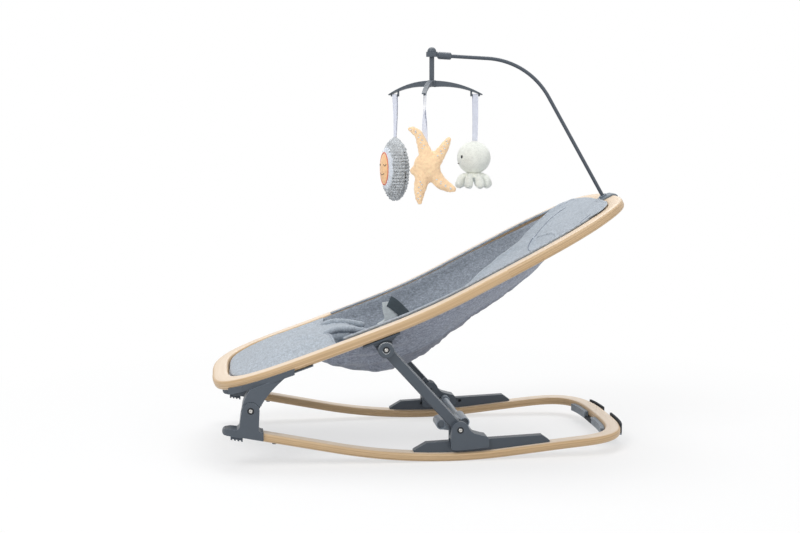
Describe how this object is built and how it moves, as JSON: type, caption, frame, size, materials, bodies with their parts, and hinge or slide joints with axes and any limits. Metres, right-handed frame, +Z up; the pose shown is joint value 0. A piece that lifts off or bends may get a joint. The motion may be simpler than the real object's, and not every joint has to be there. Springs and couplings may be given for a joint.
{
  "type": "bouncer seat",
  "caption": "Reclining infant bouncer seat: fabric sling in a bent wood hoop, hinged on wooden rocking rails, with sliding struts and a toy arch.",
  "frame": {"origin": "on the floor, under the middle of the bounding box", "axes": "+X from the foot end to the head end, +Z up, +Y to the child's right as it lies in the seat"},
  "size_m": [0.8009, 0.402, 0.7676],
  "materials": {
    "wood": "clear-lacquered pale bent wood",
    "slate_plastic": "fine-grained moulded plastic",
    "track_plastic": "fine-grained moulded plastic",
    "dark_plastic": "fine-grained moulded plastic",
    "clip_plastic": "fine-grained moulded plastic",
    "grip_plastic": "smooth moulded plastic",
    "black_rubber": "matt soft rubber",
    "steel": "plated steel",
    "rod_paint": "satin powder coat",
    "sling_fabric": "woven cloth, melange grey",
    "liner_fabric": "woven cloth, light melange grey",
    "webbing": "flat woven webbing",
    "ribbon": "smooth satin ribbon",
    "grey_plush": "short-pile plush",
    "orange_plush": "short-pile plush",
    "white_plush": "short-pile plush"
  },
  "bodies": {
    "base": {"rocker_rails": "wood", "foot_bracket_left": "slate_plastic", "foot_bracket_right": "slate_plastic", "foot_pad_left": "black_rubber", "foot_pad_right": "black_rubber", "front_hinge_pins": "steel", "rail_screws": "dark_plastic", "track_left": "track_plastic", "track_right": "track_plastic", "rear_clip_left": "clip_plastic", "rear_clip_right": "clip_plastic", "rear_clip_link": "black_rubber", "rear_bumper_left": "black_rubber", "rear_bumper_right": "black_rubber"},
    "seat": {"hoop": "wood", "seat_arm_left": "slate_plastic", "seat_arm_right": "slate_plastic", "strut_bracket_left": "slate_plastic", "strut_bracket_right": "slate_plastic", "strut_top_pins": "steel", "seat_sling": "sling_fabric", "leg_liner": "liner_fabric", "crotch_flap": "sling_fabric", "head_pillow": "liner_fabric", "waist_strap_left": "webbing", "waist_strap_right": "webbing", "crotch_strap": "webbing", "buckle_housing": "dark_plastic", "buckle_tongue": "dark_plastic", "arch_clip": "clip_plastic"},
    "harness_button": {"buckle_button": "grip_plastic"},
    "strut_left": {"strut_left": "slate_plastic"},
    "strut_right": {"strut_right": "slate_plastic"},
    "carriage": {"slider_left": "slate_plastic", "slider_right": "slate_plastic", "slider_pin_left": "steel", "slider_pin_right": "steel", "cross_bar": "grip_plastic"},
    "lock_left": {"lock_grip": "grip_plastic"},
    "lock_right": {"lock_knob": "grip_plastic"},
    "arch": {"arch_rod": "rod_paint", "arch_sleeve": "slate_plastic", "arch_hub": "slate_plastic"},
    "mobile": {"mobile_post": "slate_plastic", "mobile_arms": "clip_plastic"},
    "toy_left": {"ribbon_left": "ribbon", "oval_plush": "grey_plush", "oval_face": "orange_plush"},
    "toy_middle": {"ribbon_middle": "ribbon", "starfish_plush": "orange_plush"},
    "toy_right": {"ribbon_right": "ribbon", "octopus_head": "white_plush", "octopus_legs": "white_plush"}
  },
  "joints": [
    {"name": "seat_fold", "type": "hinge", "parent": "base", "child": "seat", "pos_m": [-0.3325, 0, 0.106], "axis": [0, 1, 0], "range_deg": [-5, 24]},
    {"name": "strut_left_turn", "type": "hinge", "parent": "seat", "child": "strut_left", "pos_m": [-0.0855, 0, 0.21201], "axis": [0, 1, 0], "range_deg": [-63, 14]},
    {"name": "strut_right_turn", "type": "hinge", "parent": "seat", "child": "strut_right", "pos_m": [-0.0855, 0, 0.21201], "axis": [0, 1, 0], "range_deg": [-63, 14]},
    {"name": "carriage_turn", "type": "hinge", "parent": "strut_left", "child": "carriage", "pos_m": [0.052, 0, 0.05933], "axis": [0, 1, 0], "range_deg": [-9, 39]},
    {"name": "lock_left_pull", "type": "slide", "parent": "carriage", "child": "lock_left", "axis": [0, 1, 0], "range_m": [0, 0.006], "stiffness_N_per_m": 800},
    {"name": "lock_right_pull", "type": "slide", "parent": "carriage", "child": "lock_right", "axis": [0, -1, 0], "range_m": [0, 0.006], "stiffness_N_per_m": 800},
    {"name": "harness_button_press", "type": "slide", "parent": "seat", "child": "harness_button", "axis": [0, 0, -1], "range_m": [0, 0.002], "stiffness_N_per_m": 600},
    {"name": "arch_swivel", "type": "hinge", "parent": "seat", "child": "arch", "pos_m": [0.3702, 0, 0.47907], "axis": [-0.5, 0, 0.866], "range_deg": [-90, 90]},
    {"name": "mobile_spin", "type": "hinge", "parent": "arch", "child": "mobile", "pos_m": [0.027, 0, 0.75381], "axis": [0, 0, 1], "continuous": true},
    {"name": "toy_left_swing", "type": "hinge", "parent": "mobile", "child": "toy_left", "pos_m": [-0.03633, 0.06673, 0.67576], "axis": [-0.6884, 0.7254, 0], "range_deg": [-12, 12]},
    {"name": "toy_middle_swing", "type": "hinge", "parent": "mobile", "child": "toy_middle", "pos_m": [0.00087, -0.08821, 0.67576], "axis": [-0.284, -0.9588, 0], "range_deg": [-12, 12]},
    {"name": "toy_right_swing", "type": "hinge", "parent": "mobile", "child": "toy_right", "pos_m": [0.11645, 0.02148, 0.67576], "axis": [0.9724, 0.2334, 0], "range_deg": [-12, 12]}
  ],
  "couplings": [
    {"joint": "strut_left_turn", "follows": "seat_fold", "ratio": -2.58},
    {"joint": "strut_right_turn", "follows": "seat_fold", "ratio": -2.58},
    {"joint": "carriage_turn", "follows": "seat_fold", "ratio": 1.58}
  ]
}
